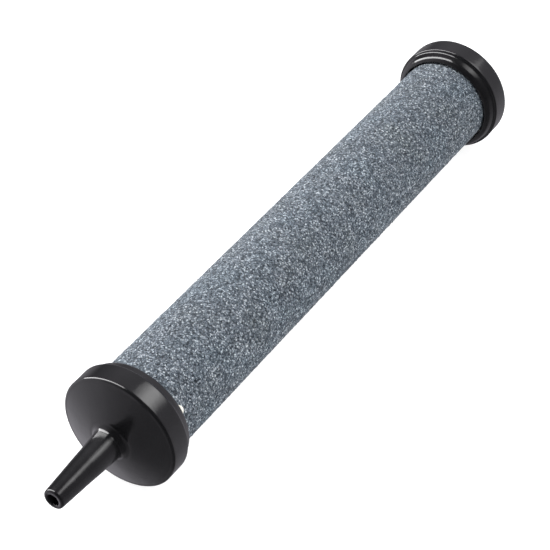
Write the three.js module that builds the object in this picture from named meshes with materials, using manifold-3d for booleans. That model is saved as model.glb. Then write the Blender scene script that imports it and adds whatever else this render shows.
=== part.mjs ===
// Cylindrical aquarium air stone: a porous mineral tube, closed at both ends by glued plastic
// cups. One cup carries the tapered nozzle that the air hose is pushed onto.
//
// Units are millimetres, +Z is up. The stone lies on its side with its axis along Y and the
// nozzle towards -Y. It rests on the rims of its two cups, and the origin is on the surface
// below the middle of the whole length.
//
// Outlines are drawn as (distance from the axis, place along it), with the outer face of a
// cup's rim at 0 and the cup's mouth above it.
import * as THREE from 'three';
import { mergeVertices } from 'three/addons/utils/BufferGeometryUtils.js';
import Module from 'manifold-3d';

const wasm = await Module();
wasm.setup();

// ---------------------------------------------------------------- driving dimensions
const STONE_RADIUS = 10.1;
const STONE_BORE_RADIUS = 4;
const STONE_END_CHAMFER = 0.4;

const CUPS_LENGTH = 130.8; // from the rim edge of one cup's face to the flat face of the other
const RIM_RADIUS = 12.4;
const RIM_WIDTH = 4.8;
const RIM_EDGE_ROUND = 0.6;
const RIM_BACK_ROUND = 0.4;
const FACE_THICKNESS = 1.6;
const SOCKET_RADIUS = 10.5;

// The collar is the narrower, tapered part of a cup. Its round shoulder closes down to the
// mouth, where it meets the socket in a thin lip around the stone.
const COLLAR_BASE_RADIUS = 11.95;
const COLLAR_SLOPE = 17; // degrees that the collar leans in towards the mouth
const SHOULDER_RADIUS = 11.6;
const SHOULDER_ROUND = 1.4;
const SHOULDER_CENTRE_ALONG = 5.7;

// The inlet cup's face rises to the nozzle between a cone (power 1) and a bowl (power 2).
const FACE_RISE = 3;
const FACE_RISE_POWER = 1.5;

const NOZZLE_LENGTH = 19.4; // beyond the plane of the rim edge
const NOZZLE_ROOT_RADIUS = 3.15;
const NOZZLE_TIP_RADIUS = 2.15;
const NOZZLE_TIP_ROUND = 0.45;
const NOZZLE_FILLET = 1.4;
const NOZZLE_BORE_RADIUS = 1.3;

const FIT_GAP = 0.08; // left between touching pieces
const GLUE_FLOOR_THICKNESS = 0.5; // between the stone's end and the cup's floor
const GLUE_RECESS = 3; // how far the glue stays below a cup's mouth
const GLUE_PAD_INNER_RADIUS = 5;

// A tongue of glue that was squeezed up between the stone and the inlet cup, over a few
// degrees only. It reaches past the cup's mouth.
const TONGUE_ANGLE = 60; // degrees from straight up towards +X
const TONGUE_CENTRE_ALONG = 5.8;
const TONGUE_HALF_SIZE = new THREE.Vector3(1.5, 2.15, 0.9); // around, along, away from the stone
const TONGUE_SEGMENTS = 16;
const TONGUE_RINGS = 10;

// Every round surface has the same number of flats, turned so that one of them faces down.
const FLATS = 32;
const ARC_STEPS = 4;
const MERGE_DISTANCE = 1e-4;

// ---------------------------------------------------------------- derived dimensions
const SHOULDER_CENTRE_RADIUS = SHOULDER_RADIUS - SHOULDER_ROUND;
const LIP_ANGLE = Math.acos((SOCKET_RADIUS - SHOULDER_CENTRE_RADIUS) / SHOULDER_ROUND);
const CUP_HEIGHT = SHOULDER_CENTRE_ALONG + SHOULDER_ROUND * Math.sin(LIP_ANGLE);
const STONE_INSET = FACE_THICKNESS + GLUE_FLOOR_THICKNESS;
const STONE_LENGTH = CUPS_LENGTH - 2 * STONE_INSET;
const TOTAL_LENGTH = CUPS_LENGTH + NOZZLE_LENGTH;
const INLET_FACE_Y = NOZZLE_LENGTH - TOTAL_LENGTH / 2;
const END_FACE_Y = TOTAL_LENGTH / 2;
const GLUE_INNER_RADIUS = STONE_RADIUS + FIT_GAP;
const GLUE_OUTER_RADIUS = SOCKET_RADIUS - FIT_GAP;
const HALF_FLAT = Math.PI / FLATS;

// ---------------------------------------------------------------- materials
function material(color, roughness) {
  return new THREE.MeshStandardMaterial({ color, roughness, metalness: 0 });
}

const stoneMaterial = material(0x737a83, 0.95);
const plasticMaterial = material(0x1f1f21, 0.35);
const glueMaterial = material(0xe6e0d2, 0.5);

// ---------------------------------------------------------------- outlines
/** A point of an outline: distance from the axis and place along it. */
function at(radius, along) {
  return new THREE.Vector2(radius, along);
}

/** Points of a circular arc about a centre, between two angles in degrees, ends included. */
function arc(centre, radius, fromDegrees, toDegrees) {
  const points = [];
  for (let step = 0; step <= ARC_STEPS; step += 1) {
    const degrees = THREE.MathUtils.lerp(fromDegrees, toDegrees, step / ARC_STEPS);
    const angle = THREE.MathUtils.degToRad(degrees);
    points.push(at(centre.x + radius * Math.cos(angle), centre.y + radius * Math.sin(angle)));
  }
  return points;
}

/** Turns an outline around the Y axis. The flats, not the corners, lie at the stated radii. */
function turned(outline) {
  const widened = outline.map((point) => at(point.x / Math.cos(HALF_FLAT), point.y));
  return new THREE.LatheGeometry(widened, FLATS, HALF_FLAT);
}

/** Turns a closed ring outline, given without its repeated first point. */
function turnedRing(outline) {
  return turned([...outline, outline[0]]);
}

// ---------------------------------------------------------------- meshes and solids
function named(name, geometry, pieceMaterial) {
  const mesh = new THREE.Mesh(geometry, pieceMaterial);
  mesh.name = name;
  return mesh;
}

/** Places a piece drawn in cup coordinates in the inlet cup. */
function atInlet(mesh) {
  mesh.position.y = INLET_FACE_Y;
  return mesh;
}

/** Places a piece drawn in cup coordinates in the end cup, which faces the other way. */
function atEnd(mesh) {
  mesh.rotation.x = Math.PI;
  mesh.position.y = END_FACE_Y;
  return mesh;
}

function toSolid(geometry) {
  const bare = geometry.clone();
  bare.deleteAttribute('normal');
  bare.deleteAttribute('uv');
  const merged = mergeVertices(bare, MERGE_DISTANCE);
  return new wasm.Manifold(new wasm.Mesh({
    numProp: 3,
    vertProperties: new Float32Array(merged.attributes.position.array),
    triVerts: new Uint32Array(merged.index.array),
  }));
}

function toGeometry(solid) {
  const { vertProperties, triVerts } = solid.getMesh();
  const geometry = new THREE.BufferGeometry();
  geometry.setAttribute('position', new THREE.BufferAttribute(vertProperties, 3));
  geometry.setIndex(new THREE.BufferAttribute(triVerts, 1));
  geometry.computeVertexNormals();
  return geometry;
}

// ---------------------------------------------------------------- stone
/** The porous tube. Its bore spreads the air along the whole length. */
function stoneTube() {
  const edge = STONE_RADIUS - STONE_END_CHAMFER;
  const geometry = turnedRing([
    at(STONE_BORE_RADIUS, 0),
    at(edge, 0),
    at(STONE_RADIUS, STONE_END_CHAMFER),
    at(STONE_RADIUS, STONE_LENGTH - STONE_END_CHAMFER),
    at(edge, STONE_LENGTH),
    at(STONE_BORE_RADIUS, STONE_LENGTH),
  ]);
  const mesh = named('stone_tube', geometry, stoneMaterial);
  mesh.position.y = INLET_FACE_Y + STONE_INSET;
  return mesh;
}

// ---------------------------------------------------------------- cups
/** The stretch that both cups share: rim, collar, shoulder and socket, from the face inwards. */
function rimAndSocket() {
  const front = at(RIM_RADIUS - RIM_EDGE_ROUND, RIM_EDGE_ROUND);
  const back = at(RIM_RADIUS - RIM_BACK_ROUND, RIM_WIDTH - RIM_BACK_ROUND);
  const shoulder = at(SHOULDER_CENTRE_RADIUS, SHOULDER_CENTRE_ALONG);
  return [
    ...arc(front, RIM_EDGE_ROUND, -90, 0),
    ...arc(back, RIM_BACK_ROUND, 0, 90),
    at(COLLAR_BASE_RADIUS, RIM_WIDTH),
    ...arc(shoulder, SHOULDER_ROUND, COLLAR_SLOPE, THREE.MathUtils.radToDeg(LIP_ANGLE)),
    at(SOCKET_RADIUS, FACE_THICKNESS),
  ];
}

/** The inlet cup's face, from the nozzle's root out to the rim edge. */
function risingFace(rootRadius) {
  const edgeRadius = RIM_RADIUS - RIM_EDGE_ROUND;
  const points = [];
  for (let step = 0; step < ARC_STEPS; step += 1) {
    const radius = THREE.MathUtils.lerp(rootRadius, edgeRadius, step / ARC_STEPS);
    points.push(at(radius, FACE_RISE * ((radius / edgeRadius) ** FACE_RISE_POWER - 1)));
  }
  return points;
}

/** The tapered nozzle, from the rounded tip to the fillet that runs out at its root. */
function nozzleOutline(rootEnd) {
  const tipCentre = at(NOZZLE_TIP_RADIUS - NOZZLE_TIP_ROUND, NOZZLE_TIP_ROUND - NOZZLE_LENGTH);
  const filletCentre = at(rootEnd.x, rootEnd.y - NOZZLE_FILLET);
  return [
    ...arc(tipCentre, NOZZLE_TIP_ROUND, -90, 0),
    ...arc(filletCentre, NOZZLE_FILLET, 180, 90).slice(0, -1),
  ];
}

/** Cup and nozzle are one moulding, with the air bore right through it. */
function inletCap() {
  const face = risingFace(NOZZLE_ROOT_RADIUS + NOZZLE_FILLET);
  const geometry = turnedRing([
    at(NOZZLE_BORE_RADIUS, -NOZZLE_LENGTH),
    ...nozzleOutline(face[0]),
    ...face,
    ...rimAndSocket(),
    at(NOZZLE_BORE_RADIUS, FACE_THICKNESS),
  ]);
  return atInlet(named('inlet_cap', geometry, plasticMaterial));
}

/** The blind cup at the other end, with a flat face. */
function endCap() {
  const geometry = turned([at(0, 0), ...rimAndSocket(), at(0, FACE_THICKNESS)]);
  return atEnd(named('end_cap', geometry, plasticMaterial));
}

// ---------------------------------------------------------------- glue
/** A glue sleeve around the stone's end, with a pad between the stone and the cup's floor. */
function glueSleeve() {
  const floor = FACE_THICKNESS + FIT_GAP;
  const padTop = STONE_INSET - FIT_GAP;
  const top = CUP_HEIGHT - GLUE_RECESS;
  return turnedRing([
    at(GLUE_PAD_INNER_RADIUS, floor),
    at(GLUE_OUTER_RADIUS, floor),
    at(GLUE_OUTER_RADIUS, top),
    at(GLUE_INNER_RADIUS, top),
    at(GLUE_INNER_RADIUS, padTop),
    at(GLUE_PAD_INNER_RADIUS, padTop),
  ]);
}

/** The squeezed-out tongue: an ellipsoid without the room of the stone and the cup. */
function squeezedTongue() {
  const ellipsoid = new THREE.SphereGeometry(1, TONGUE_SEGMENTS, TONGUE_RINGS);
  ellipsoid.scale(TONGUE_HALF_SIZE.x, TONGUE_HALF_SIZE.y, TONGUE_HALF_SIZE.z);
  ellipsoid.translate(0, TONGUE_CENTRE_ALONG, (GLUE_INNER_RADIUS + GLUE_OUTER_RADIUS) / 2);
  ellipsoid.rotateY(THREE.MathUtils.degToRad(TONGUE_ANGLE));

  const stoneTop = 2 * CUP_HEIGHT;
  const stoneRoom = turned([
    at(0, 0),
    at(GLUE_INNER_RADIUS, 0),
    at(GLUE_INNER_RADIUS, stoneTop),
    at(0, stoneTop),
  ]);
  const cupTop = CUP_HEIGHT + FIT_GAP;
  const cupRoom = turnedRing([
    at(GLUE_OUTER_RADIUS, 0),
    at(RIM_RADIUS, 0),
    at(RIM_RADIUS, cupTop),
    at(GLUE_OUTER_RADIUS, cupTop),
  ]);
  return toSolid(ellipsoid).subtract(toSolid(stoneRoom)).subtract(toSolid(cupRoom));
}

function inletAdhesive() {
  const geometry = toGeometry(toSolid(glueSleeve()).add(squeezedTongue()));
  return atInlet(named('inlet_adhesive', geometry, glueMaterial));
}

function endAdhesive() {
  return atEnd(named('end_adhesive', glueSleeve(), glueMaterial));
}

// ---------------------------------------------------------------- assembly
const airStone = new THREE.Group();
airStone.position.z = RIM_RADIUS;
airStone.add(stoneTube(), inletCap(), endCap(), inletAdhesive(), endAdhesive());

export default airStone;
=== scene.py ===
"""Looks of a cylindrical aquarium air stone: a granular mineral tube between two black moulded
cups, one with a tapered air hose nozzle, and the glue that holds them.

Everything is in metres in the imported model's frame: the axis runs along Y, the nozzle points
to -Y and the part lies on z = 0. Outlines are lists of (distance from the axis, place along
it). A cup's outline has the outer face of its rim at 0 and its mouth above it.
"""
import math

import bpy
import numpy as np
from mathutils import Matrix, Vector, noise


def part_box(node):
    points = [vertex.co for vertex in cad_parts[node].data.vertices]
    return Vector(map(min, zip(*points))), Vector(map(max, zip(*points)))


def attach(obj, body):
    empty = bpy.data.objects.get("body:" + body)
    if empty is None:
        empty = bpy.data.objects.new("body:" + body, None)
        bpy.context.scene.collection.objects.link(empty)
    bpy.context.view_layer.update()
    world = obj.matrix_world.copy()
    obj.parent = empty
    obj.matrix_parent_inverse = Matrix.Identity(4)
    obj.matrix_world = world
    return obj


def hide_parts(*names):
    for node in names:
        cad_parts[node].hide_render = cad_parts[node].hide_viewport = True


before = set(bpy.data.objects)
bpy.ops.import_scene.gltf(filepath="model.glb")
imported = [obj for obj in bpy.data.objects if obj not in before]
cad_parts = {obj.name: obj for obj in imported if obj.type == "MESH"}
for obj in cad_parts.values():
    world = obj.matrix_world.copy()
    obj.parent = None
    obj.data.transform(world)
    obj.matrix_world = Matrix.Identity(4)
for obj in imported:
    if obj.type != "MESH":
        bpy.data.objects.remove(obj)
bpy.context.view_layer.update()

MM = 0.001

# ------------------------------------------------------------------ sizes from the frame
inlet_low, inlet_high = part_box("inlet_cap")
end_low, end_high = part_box("end_cap")
stone_low, stone_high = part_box("stone_tube")

RIM_RADIUS = (end_high.z - end_low.z) / 2
AXIS_Z = (end_high.z + end_low.z) / 2
STONE_RADIUS = (stone_high.z - stone_low.z) / 2
CUP_HEIGHT = end_high.y - end_low.y
INLET_FACE_Y = inlet_high.y - CUP_HEIGHT
NOZZLE_LENGTH = INLET_FACE_Y - inlet_low.y
END_FACE_Y = end_high.y
STONE_INSET = stone_low.y - INLET_FACE_Y

# ------------------------------------------------------------------ sizes of the design
STONE_BORE_RADIUS = 4.0 * MM
STONE_END_CHAMFER = 0.4 * MM
RIM_WIDTH = 4.8 * MM
RIM_EDGE_ROUND = 0.6 * MM
RIM_BACK_ROUND = 0.4 * MM
FACE_THICKNESS = 1.6 * MM
SOCKET_RADIUS = 10.5 * MM
COLLAR_BASE_RADIUS = 11.95 * MM
COLLAR_SLOPE = 17  # degrees
SHOULDER_RADIUS = 11.6 * MM
SHOULDER_ROUND = 1.4 * MM
SHOULDER_CENTRE_ALONG = 5.7 * MM
FACE_RISE = 3.0 * MM
FACE_RISE_POWER = 1.5
NOZZLE_ROOT_RADIUS = 3.15 * MM
NOZZLE_TIP_RADIUS = 2.15 * MM
NOZZLE_TIP_ROUND = 0.45 * MM
NOZZLE_FILLET = 1.4 * MM
NOZZLE_BORE_RADIUS = 1.3 * MM
FIT_GAP = 0.08 * MM
GLUE_RECESS = 3.0 * MM
GLUE_PAD_INNER_RADIUS = 5.0 * MM
TONGUE_ANGLE = 60  # degrees from straight up towards +X
TONGUE_HALF_ANGLE = 10.5  # degrees
TONGUE_BLUNTNESS = 0.6  # a smaller power makes its end blunter
TONGUE_SKEW = 0.15  # share by which it is higher towards its lower side
TONGUE_TOP = 7.95 * MM  # place along the inlet cup's outline
TONGUE_BULGE = 0.35 * MM

# ------------------------------------------------------------------ outlines
OUTLINE_STEP = 0.45 * MM
ARC_STEPS = 8
FACE_STEPS = 24


def arc(radius, along, size, start, end):
    """Outline points of an arc of that size about (radius, along), angles in degrees."""
    angles = np.radians(np.linspace(start, end, ARC_STEPS + 1))
    return [(radius + size * math.cos(a), along + size * math.sin(a)) for a in angles]


def densified(outline):
    """The outline with its long straight stretches cut into steps of about OUTLINE_STEP."""
    points = []
    for (r0, y0), (r1, y1) in zip(outline, outline[1:]):
        cuts = max(1, round(math.hypot(r1 - r0, y1 - y0) / OUTLINE_STEP))
        for k in range(cuts):
            points.append((r0 + (r1 - r0) * k / cuts, y0 + (y1 - y0) * k / cuts))
    points.append(outline[-1])
    return points


def densified_ring(outline):
    """The same for an outline that closes on itself."""
    return densified([*outline, outline[0]])[:-1]


# ------------------------------------------------------------------ meshes
TURN_STEPS = 192
RIPPLE_HEIGHT = 0.03 * MM
RIPPLE_LENGTH = 4 * MM


def mesh_object(name, vertices, faces, smooth=True):
    """A new object in the scene, made of those points and faces."""
    mesh = bpy.data.meshes.new(name)
    mesh.from_pydata(vertices, [], faces)
    mesh.validate()
    mesh.polygons.foreach_set("use_smooth", [smooth] * len(mesh.polygons))
    mesh.update()
    piece = bpy.data.objects.new(name, mesh)
    bpy.context.scene.collection.objects.link(piece)
    return piece


def around(radius, y, angle):
    """A point at that distance from the axis, at an angle from straight up towards +X."""
    return (radius * math.sin(angle), y, AXIS_Z + radius * math.cos(angle))


def circle(radius, y, steps=TURN_STEPS):
    """A ring of points about the axis, or a single point where the radius is 0."""
    if radius == 0:
        return [around(0, y, 0)]
    return [around(radius, y, 2 * math.pi * k / steps) for k in range(steps)]


def skin(name, rings, closed):
    """Joins rings of points into a surface. A ring of one point is a pole. A closed surface
    goes on from the last ring to the first."""
    vertices = []
    spans = []
    for ring in rings:
        spans.append((len(vertices), len(ring)))
        vertices.extend(ring)
    pairs = list(zip(spans, spans[1:]))
    if closed:
        pairs.append((spans[-1], spans[0]))
    steps = max(count for _, count in spans)
    faces = []
    for (low, low_count), (high, high_count) in pairs:
        for k in range(steps):
            corners = [
                low + k % low_count,
                low + (k + 1) % low_count,
                high + (k + 1) % high_count,
                high + k % high_count,
            ]
            faces.append(list(dict.fromkeys(corners)))
    return mesh_object(name, vertices, faces)


def turned(name, outline):
    """Turns an outline of (radius, y) points about the axis. An outline that doesn't start and
    end on the axis closes on itself."""
    return skin(name, [circle(radius, y) for radius, y in outline], closed=outline[0][0] > 0)


def ripple(piece, seed):
    """Moves a piece's surface along its normals by soft noise, as uneven cooling leaves it."""
    offset = Vector((seed, 2 * seed, 3 * seed))
    spots = [vertex.co.copy() for vertex in piece.data.vertices]
    normals = [vertex.normal.copy() for vertex in piece.data.vertices]
    for vertex, spot, normal in zip(piece.data.vertices, spots, normals):
        vertex.co = spot + normal * noise.noise(spot / RIPPLE_LENGTH + offset) * RIPPLE_HEIGHT
    piece.data.update()


# ------------------------------------------------------------------ node graphs
# Where a Mix node keeps its colour sockets.
MIX_FIRST = 6
MIX_SECOND = 7
MIX_RESULT = 2


class Graph:
    """A short way to write shader nodes. A value is a number, a colour or another node's
    output. The scale of a texture is in cells per metre."""

    def __init__(self, tree, coordinates="Object"):
        self.nodes = tree.nodes
        self.links = tree.links
        self.place = self.node("TexCoord").outputs[coordinates]

    def join(self, source, socket):
        """Gives a socket its value."""
        if isinstance(source, bpy.types.NodeSocket):
            self.links.new(source, socket)
        else:
            socket.default_value = source

    def node(self, kind, settings=None, **inputs):
        """A new node. An underscore in an input's name stands for a space."""
        made = self.nodes.new("ShaderNode" + kind)
        for key, value in (settings or {}).items():
            setattr(made, key, value)
        for key, value in inputs.items():
            self.join(value, made.inputs[key.replace("_", " ")])
        return made

    def noise(self, scale, detail, roughness=0.5):
        made = self.node(
            "TexNoise", Vector=self.place, Scale=scale, Detail=detail, Roughness=roughness
        )
        return made.outputs["Fac"]

    def cells(self, scale):
        return self.node("TexVoronoi", Vector=self.place, Scale=scale)

    def spread(self, value, low, high, to_low=0.0, to_high=1.0):
        """Maps a value from one range to another, held at both ends."""
        made = self.node(
            "MapRange", Value=value, From_Min=low, From_Max=high, To_Min=to_low, To_Max=to_high
        )
        return made.outputs["Result"]

    def maths(self, operation, first, second):
        made = self.node("Math", {"operation": operation})
        self.join(first, made.inputs[0])
        self.join(second, made.inputs[1])
        return made.outputs["Value"]

    def product(self, *factors):
        """Any number of values, multiplied together."""
        result = factors[0]
        for factor in factors[1:]:
            result = self.maths("MULTIPLY", result, factor)
        return result

    def ramp(self, value, stops):
        """Turns a value into a colour by way of (position, colour) stops."""
        made = self.node("ValToRGB", Fac=value)
        elements = made.color_ramp.elements
        while len(elements) < len(stops):
            elements.new(1.0)
        for element, (position, colour) in zip(elements, stops):
            element.position = position
            element.color = (*colour, 1)
        return made.outputs["Color"]

    def blend(self, amount, first, second, mode="MIX"):
        """Mixes two colours, or joins them in another of the Mix node's modes."""
        made = self.node("Mix", {"data_type": "RGBA", "blend_type": mode}, Factor=amount)
        for index, colour in ((MIX_FIRST, first), (MIX_SECOND, second)):
            output = isinstance(colour, bpy.types.NodeSocket)
            self.join(colour if output else (*colour, 1), made.inputs[index])
        return made.outputs[MIX_RESULT]

    def dimmed(self, colour, amount):
        """The colour times a number."""
        grey = self.node("CombineColor", Red=amount, Green=amount, Blue=amount).outputs["Color"]
        return self.blend(1.0, colour, grey, "MULTIPLY")

    def bump(self, height, distance, strength, under=None):
        """A normal tilted by relief. It can lie over the normal of a coarser relief."""
        made = self.node("Bump", Height=height, Distance=distance, Strength=strength)
        if under:
            self.links.new(under, made.inputs["Normal"])
        return made.outputs["Normal"]


class Surface(Graph):
    """The graph of a new material around its Principled shader."""

    def __init__(self, name):
        self.material = bpy.data.materials.new(name)
        self.material.use_nodes = True
        super().__init__(self.material.node_tree)

    def finish(self, **inputs):
        """Gives the shader its inputs and returns the material."""
        shader = self.nodes["Principled BSDF"]
        for key, value in inputs.items():
            self.join(value, shader.inputs[key.replace("_", " ")])
        return self.material


# ------------------------------------------------------------------ materials
GRAIN_CELLS = 3000  # per metre
FINE_GRAIN_CELLS = 5600
OPAQUE_WHITE = (1, 1, 1, 1)


def stone_material():
    """Bonded mineral grit: each cell is one grain with its own grey, painted shade darkens the
    sunken gaps between the grains, and a few grains glint."""
    s = Surface("bonded_grit")
    grains = s.cells(GRAIN_CELLS)
    fine = s.cells(FINE_GRAIN_CELLS)
    pick = s.node("SeparateColor", Color=grains.outputs["Color"]).outputs
    pick_fine = s.node("SeparateColor", Color=fine.outputs["Color"]).outputs
    tone = s.maths("ADD", s.product(pick["Red"], 0.65), s.product(pick_fine["Red"], 0.35))
    grey = s.ramp(tone, [
        (0.12, (0.012, 0.017, 0.025)),
        (0.42, (0.070, 0.088, 0.109)),
        (0.72, (0.170, 0.198, 0.230)),
        (0.94, (0.510, 0.555, 0.595)),
    ])
    tint = s.ramp(s.noise(scale=110, detail=2), [
        (0.35, (0.96, 1.00, 1.01)),
        (0.50, (1.00, 1.00, 1.00)),
        (0.70, (1.00, 1.00, 0.96)),
    ])
    tinted = s.blend(1.0, grey, tint, "MULTIPLY")
    # painted shade: darker towards each grain's edge, in the hollows between grains; the same
    # values sink those gaps in the bump
    gap_shade_and_depth = s.spread(grains.outputs["Distance"], 0.35, 0.75, to_low=1.0, to_high=0.45)
    patches = s.spread(s.noise(scale=45, detail=2), 0.3, 0.7, to_low=0.98, to_high=1.02)
    colour = s.dimmed(s.dimmed(tinted, gap_shade_and_depth), patches)
    roughness = s.spread(pick["Green"], 0.91, 0.97, to_low=0.85, to_high=0.26)
    height = s.maths("ADD", s.product(pick["Blue"], 0.7), s.product(gap_shade_and_depth, 0.6))
    normal = s.bump(height, distance=0.13 * MM, strength=0.7)
    return s.finish(Base_Color=colour, Roughness=roughness, Normal=normal)


def plastic_material():
    """Glossy black moulded plastic with faint smudges, slight waves, fine grain and light wear."""
    s = Surface("black_plastic")
    smudges = s.noise(scale=120, detail=4, roughness=0.6)
    black = s.ramp(smudges, [(0.35, (0.0045, 0.0045, 0.0050)), (0.70, (0.0070, 0.0070, 0.0078))])
    edges = s.spread(s.node("NewGeometry").outputs["Pointiness"], 0.515, 0.56, to_high=0.5)
    flecks = s.spread(s.noise(scale=900, detail=3, roughness=0.6), 0.5, 0.75)
    colour = s.blend(s.product(edges, flecks), black, (0.075, 0.075, 0.078))
    roughness = s.spread(smudges, 0.25, 0.75, to_low=0.10, to_high=0.20)
    waves = s.bump(s.noise(scale=330, detail=3), distance=0.07 * MM, strength=0.5)
    grain = s.noise(scale=2600, detail=2)
    normal = s.bump(grain, distance=0.006 * MM, strength=0.4, under=waves)
    return s.finish(Base_Color=colour, Roughness=roughness, Normal=normal)


def glue_material():
    """Hardened cream glue with a cloudy colour and an uneven sheen."""
    s = Surface("cream_glue")
    cloud = s.noise(scale=900, detail=3)
    colour = s.ramp(cloud, [(0.3, (0.74, 0.71, 0.62)), (0.7, (0.86, 0.84, 0.77))])
    roughness = s.spread(cloud, 0.3, 0.7, to_low=0.35, to_high=0.6)
    normal = s.bump(s.noise(scale=1500, detail=3), distance=0.05 * MM, strength=0.7)
    return s.finish(Base_Color=colour, Roughness=roughness, Normal=normal)


def floor_material():
    """A matte table with a glow of its own, which keeps it white and its shadows pale."""
    s = Surface("pale_floor")
    cloud = s.noise(scale=6, detail=3)
    shade = s.ramp(cloud, [(0.3, (0.34, 0.34, 0.34)), (0.7, (0.36, 0.36, 0.36))])
    return s.finish(
        Base_Color=shade,
        Roughness=0.6,
        Emission_Color=OPAQUE_WHITE,
        Emission_Strength=0.85,
    )


# ------------------------------------------------------------------ stone
GRAIN_STEP = 0.29 * MM
GRAIN_ROUGHNESS = 0.045 * MM
GRAIN_LIMIT = 0.13 * MM
GRAIN_JITTER = 0.3  # share of a step
GRAIN_SEED = 7
PIT_SHARE = 0.006  # of all grains
PIT_DEPTH = 0.18 * MM
GRIT_OVERLAP = 2.5 * MM  # how far the granular stretch goes on inside a cup


def grit(columns):
    """Rings of jittered points, one for each grain, from inside the one cup to inside the
    other. Every second ring is shifted by half a step."""
    random = np.random.default_rng(GRAIN_SEED)
    low_y = inlet_high.y - GRIT_OVERLAP
    high_y = end_low.y + GRIT_OVERLAP
    rows = round((high_y - low_y) / GRAIN_STEP)

    def jitter():
        return random.uniform(-GRAIN_JITTER, GRAIN_JITTER, (rows, columns))

    half_steps = 0.5 * (np.arange(rows) % 2)
    turn = (np.arange(columns)[None, :] + half_steps[:, None] + jitter()) / columns
    along = np.linspace(low_y, high_y, rows)[:, None] + jitter() * GRAIN_STEP
    height = np.clip(random.normal(0, GRAIN_ROUGHNESS, turn.shape), -GRAIN_LIMIT, GRAIN_LIMIT)
    height -= PIT_DEPTH * (random.random(height.shape) < PIT_SHARE)
    radius = STONE_RADIUS - GRAIN_ROUGHNESS + height
    angle = 2 * math.pi * turn
    return np.stack([radius * np.sin(angle), along, AXIS_Z + radius * np.cos(angle)], 2)


def lattice_faces(ring_count, columns, shifted):
    """Triangles between neighbouring rings, and from the last ring back to the first. Between
    a shifted ring and the next one their diagonals lean the other way."""
    faces = []
    for k in range(ring_count):
        low = k * columns
        high = (k + 1) % ring_count * columns
        for c in range(columns):
            n = (c + 1) % columns
            if k in shifted:
                faces += [(low + c, low + n, high + n), (low + c, high + n, high + c)]
            else:
                faces += [(low + c, low + n, high + c), (low + n, high + n, high + c)]
    return faces


def stone_piece():
    """The tube. Between the cups its surface is grit, so that the roughness is real shape."""
    columns = round(2 * math.pi * STONE_RADIUS / GRAIN_STEP)
    edge_radius = STONE_RADIUS - STONE_END_CHAMFER
    before = [
        circle(STONE_BORE_RADIUS, stone_low.y, columns),
        circle(edge_radius, stone_low.y, columns),
        circle(STONE_RADIUS, stone_low.y + STONE_END_CHAMFER, columns),
    ]
    after = [
        circle(STONE_RADIUS, stone_high.y - STONE_END_CHAMFER, columns),
        circle(edge_radius, stone_high.y, columns),
        circle(STONE_BORE_RADIUS, stone_high.y, columns),
    ]
    between = grit(columns)
    rings = [*before, *between, *after]
    shifted = range(len(before) + 1, len(before) + len(between), 2)
    faces = lattice_faces(len(rings), columns, shifted)
    return mesh_object("stone", np.concatenate(rings).tolist(), faces, smooth=False)


# ------------------------------------------------------------------ cups
def rim_and_socket():
    """Rim, collar, shoulder and socket of either cup."""
    edge_centre = RIM_RADIUS - RIM_EDGE_ROUND
    back_centre = RIM_RADIUS - RIM_BACK_ROUND
    shoulder_centre = SHOULDER_RADIUS - SHOULDER_ROUND
    lip_angle = math.degrees(math.acos((SOCKET_RADIUS - shoulder_centre) / SHOULDER_ROUND))
    return [
        *arc(edge_centre, RIM_EDGE_ROUND, RIM_EDGE_ROUND, -90, 0),
        *arc(back_centre, RIM_WIDTH - RIM_BACK_ROUND, RIM_BACK_ROUND, 0, 90),
        (COLLAR_BASE_RADIUS, RIM_WIDTH),
        *arc(shoulder_centre, SHOULDER_CENTRE_ALONG, SHOULDER_ROUND, COLLAR_SLOPE, lip_angle),
        (SOCKET_RADIUS, FACE_THICKNESS),
    ]


def rising_face(root_radius):
    """The inlet cup's face, from the nozzle's root out to the rim edge."""
    edge_radius = RIM_RADIUS - RIM_EDGE_ROUND
    radii = np.linspace(root_radius, edge_radius, FACE_STEPS)[:-1]
    return [(r, FACE_RISE * ((r / edge_radius) ** FACE_RISE_POWER - 1)) for r in radii]


def nozzle_outline(root_end):
    """The tapered nozzle, from the rounded tip to the fillet that runs out at its root."""
    tip_centre = NOZZLE_TIP_RADIUS - NOZZLE_TIP_ROUND
    tip = arc(tip_centre, NOZZLE_TIP_ROUND - NOZZLE_LENGTH, NOZZLE_TIP_ROUND, -90, 0)
    root = arc(root_end[0], root_end[1] - NOZZLE_FILLET, NOZZLE_FILLET, 180, 90)
    return [*tip, *root[:-1]]


def inlet_cap_piece():
    """The cup with the nozzle and its air bore."""
    face = rising_face(NOZZLE_ROOT_RADIUS + NOZZLE_FILLET)
    outline = densified_ring([
        (NOZZLE_BORE_RADIUS, -NOZZLE_LENGTH),
        *nozzle_outline(face[0]),
        *face,
        *rim_and_socket(),
        (NOZZLE_BORE_RADIUS, FACE_THICKNESS),
    ])
    piece = turned("inlet_cup", [(r, INLET_FACE_Y + y) for r, y in outline])
    ripple(piece, seed=3)
    return piece


def end_cap_piece():
    """The blind cup."""
    outline = densified([(0, 0), *rim_and_socket(), (0, FACE_THICKNESS)])
    piece = turned("end_cup", [(r, END_FACE_Y - y) for r, y in reversed(outline)])
    ripple(piece, seed=5)
    return piece


# ------------------------------------------------------------------ glue
GLUE_STEPS = 480
GLUE_CREST_STEPS = 6
GLUE_CREST_HEIGHT = 0.3 * MM
GLUE_LEVEL = CUP_HEIGHT - GLUE_RECESS


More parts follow.
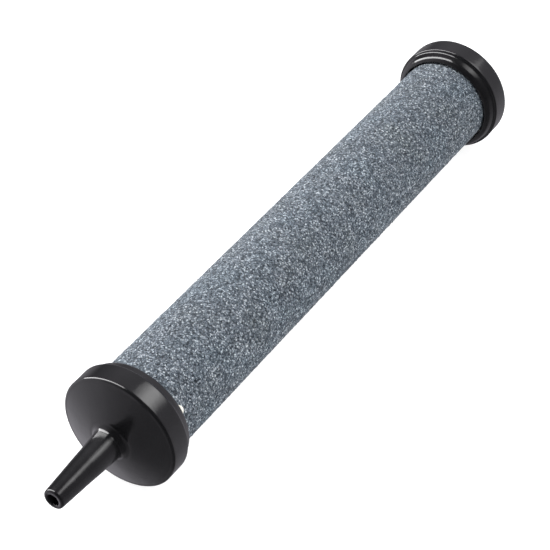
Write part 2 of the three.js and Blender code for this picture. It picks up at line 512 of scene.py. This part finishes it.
def glue_outline(top):
    """The sleeve around the stone's end and the pad under it, with a crest that ends at that
    height. Outside the cup's mouth the crest bulges."""
    inner = STONE_RADIUS + FIT_GAP
    outer = SOCKET_RADIUS - FIT_GAP
    floor = FACE_THICKNESS + FIT_GAP
    pad_top = STONE_INSET - FIT_GAP
    base = min(top - GLUE_CREST_HEIGHT, CUP_HEIGHT + FIT_GAP)
    bulge = TONGUE_BULGE * max(0.0, top - CUP_HEIGHT) / (TONGUE_TOP - CUP_HEIGHT)
    crest = []
    for angle in np.linspace(0, math.pi / 2, GLUE_CREST_STEPS):
        radius = inner + (outer + bulge - inner) * math.cos(angle)
        crest.append((radius, base + (top - base) * math.sin(angle)))
    return [
        (GLUE_PAD_INNER_RADIUS, floor),
        (outer, floor),
        (outer, base),
        *crest,
        (inner, pad_top),
        (GLUE_PAD_INNER_RADIUS, pad_top),
    ]


def tongue_height(degrees):
    """How high the glue was squeezed up at that angle: only in a narrow tongue."""
    off = (degrees - TONGUE_ANGLE) / TONGUE_HALF_ANGLE
    hump = max(0.0, 1 - off**2) ** TONGUE_BLUNTNESS
    return (TONGUE_TOP - GLUE_LEVEL) * hump * (1 + TONGUE_SKEW * off)


def glue_piece(name, to_y, crest_height):
    """A glue ring in a cup. to_y turns a place in the cup's outline into the frame's y."""
    turns = [2 * math.pi * k / GLUE_STEPS for k in range(GLUE_STEPS)]
    outlines = [glue_outline(GLUE_LEVEL + crest_height(math.degrees(turn))) for turn in turns]
    rings = []
    for points in zip(*outlines):
        rings.append([around(radius, to_y(y), turn) for (radius, y), turn in zip(points, turns)])
    return skin(name, rings, closed=True)


# ------------------------------------------------------------------ stage
FLOOR_HALF_SIZE = 3.0
LAMP_DISTANCE = 0.8
SOFTBOX_PANES = ((0.20, 15.2), (0.34, 9.6), (0.50, 5.2))  # side and power of each, nested
STUDIO_COLOUR = (0.98, 0.95, 1.03, 1)
CAMERA_WHITE = 1.2  # brightness of the studio as the camera sees it


def floor_piece():
    """The table. It is left out of glossy reflections, which show the studio instead."""
    signs = ((-1, -1), (1, -1), (1, 1), (-1, 1))
    corners = [(x * FLOOR_HALF_SIZE, y * FLOOR_HALF_SIZE, 0) for x, y in signs]
    floor = mesh_object("floor", corners, [(0, 1, 2, 3)])
    floor.data.materials.append(floor_material())
    floor.visible_glossy = False


def direction(azimuth, elevation):
    """The unit vector that way, with the azimuth in degrees from +Y towards +X."""
    turn = math.radians(azimuth)
    rise = math.radians(elevation)
    level = math.cos(rise)
    return Vector((math.sin(turn) * level, math.cos(turn) * level, math.sin(rise)))


def soft_light(name, azimuth, elevation, size, power):
    """A rectangular lamp that shines on the part from that direction. Its power is in watts
    per square metre: with 3.14 of them it looks as bright as a white wall."""
    towards = direction(azimuth, elevation)
    width, height = size
    lamp = bpy.data.lights.new(name, "AREA")
    lamp.shape = "RECTANGLE"
    lamp.size = width
    lamp.size_y = height
    lamp.energy = power * width * height
    lamp_object = bpy.data.objects.new(name, lamp)
    lamp_object.location = towards * LAMP_DISTANCE
    lamp_object.rotation_euler = (-towards).to_track_quat("-Z", "Y").to_euler()
    bpy.context.scene.collection.objects.link(lamp_object)
    return lamp_object


def studio_walls():
    """A dim room, brighter behind the part and to the left of it. A faint glow from below
    stands in for the table in reflections. The camera sees plain white all round."""
    world = bpy.data.worlds.new("studio")
    world.use_nodes = True
    w = Graph(world.node_tree, "Generated")
    way = w.node("SeparateXYZ", Vector=w.place).outputs
    from_lower_left = w.maths("ADD", way["X"], way["Z"])
    back = w.product(
        w.spread(way["Y"], 0.25, 0.55),
        w.spread(way["Z"], -0.3, 0.6, to_low=0.48, to_high=0.56),
        w.spread(from_lower_left, -0.8, 0.1, to_low=0.1, to_high=1.0),
    )
    left = w.product(
        w.spread(way["X"], -0.1, -0.7),
        w.spread(way["Y"], 0.05, 0.40, to_low=0.68, to_high=0.0),
    )
    below = w.product(
        w.spread(way["Z"], 0.05, -0.15, to_low=0.02, to_high=0.25),
        w.spread(way["X"], 0.2, 0.6, to_low=1.0, to_high=0.35),
    )
    brightness = w.maths("ADD", w.maths("ADD", back, left), below)
    camera_ray = w.node("LightPath").outputs["Is Camera Ray"]
    strength = w.maths("MAXIMUM", brightness, w.product(camera_ray, CAMERA_WHITE))
    w.join(strength, w.nodes["Background"].inputs["Strength"])
    w.nodes["Background"].inputs["Color"].default_value = STUDIO_COLOUR
    bpy.context.scene.world = world


def lighting():
    """The studio, a window, a soft-edged softbox and a fill lamp that reflections leave out."""
    studio_walls()
    soft_light("window_left", azimuth=-90, elevation=42, size=(0.38, 1.2), power=36)
    for side, power in SOFTBOX_PANES:
        soft_light("softbox_right_back", azimuth=39, elevation=51, size=(side, side), power=power)
    fill = soft_light("fill_right", azimuth=115, elevation=22, size=(0.9, 0.6), power=12)
    fill.visible_glossy = False
    bpy.context.scene.view_settings.view_transform = "Standard"


# ------------------------------------------------------------------ camera
CAMERA_AZIMUTH = 32.44  # degrees that the view is turned from +Y towards -X
CAMERA_ELEVATION = 40.38  # degrees that it looks down
CAMERA_DISTANCE = 373.4 * MM
CAMERA_AIM = Vector((0.0, -2.26 * MM, AXIS_Z - 0.27 * MM))
CAMERA_LENS = 121.5  # focal length in millimetres, on a sensor 36 wide


def camera():
    """A long lens above the nozzle's end and to its right."""
    forward = direction(-CAMERA_AZIMUTH, -CAMERA_ELEVATION)
    lens = bpy.data.cameras.new("camera")
    lens.lens = CAMERA_LENS
    lens.clip_start = 10 * MM
    eye = bpy.data.objects.new("camera", lens)
    eye.location = CAMERA_AIM - forward * CAMERA_DISTANCE
    eye.rotation_euler = forward.to_track_quat("-Z", "Y").to_euler()
    bpy.context.scene.collection.objects.link(eye)
    bpy.context.scene.camera = eye


# ------------------------------------------------------------------ assembly
def place(piece, node, material):
    """Puts a piece in the part in place of a node of the CAD model."""
    piece.data.materials.append(material)
    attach(piece, "root")
    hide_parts(node)


camera()
lighting()
floor_piece()
plastic = plastic_material()
glue = glue_material()
place(stone_piece(), "stone_tube", stone_material())
place(inlet_cap_piece(), "inlet_cap", plastic)
place(end_cap_piece(), "end_cap", plastic)
inlet_glue = glue_piece("inlet_glue", lambda y: INLET_FACE_Y + y, tongue_height)
end_glue = glue_piece("end_glue", lambda y: END_FACE_Y - y, lambda degrees: 0.0)
place(inlet_glue, "inlet_adhesive", glue)
place(end_glue, "end_adhesive", glue)
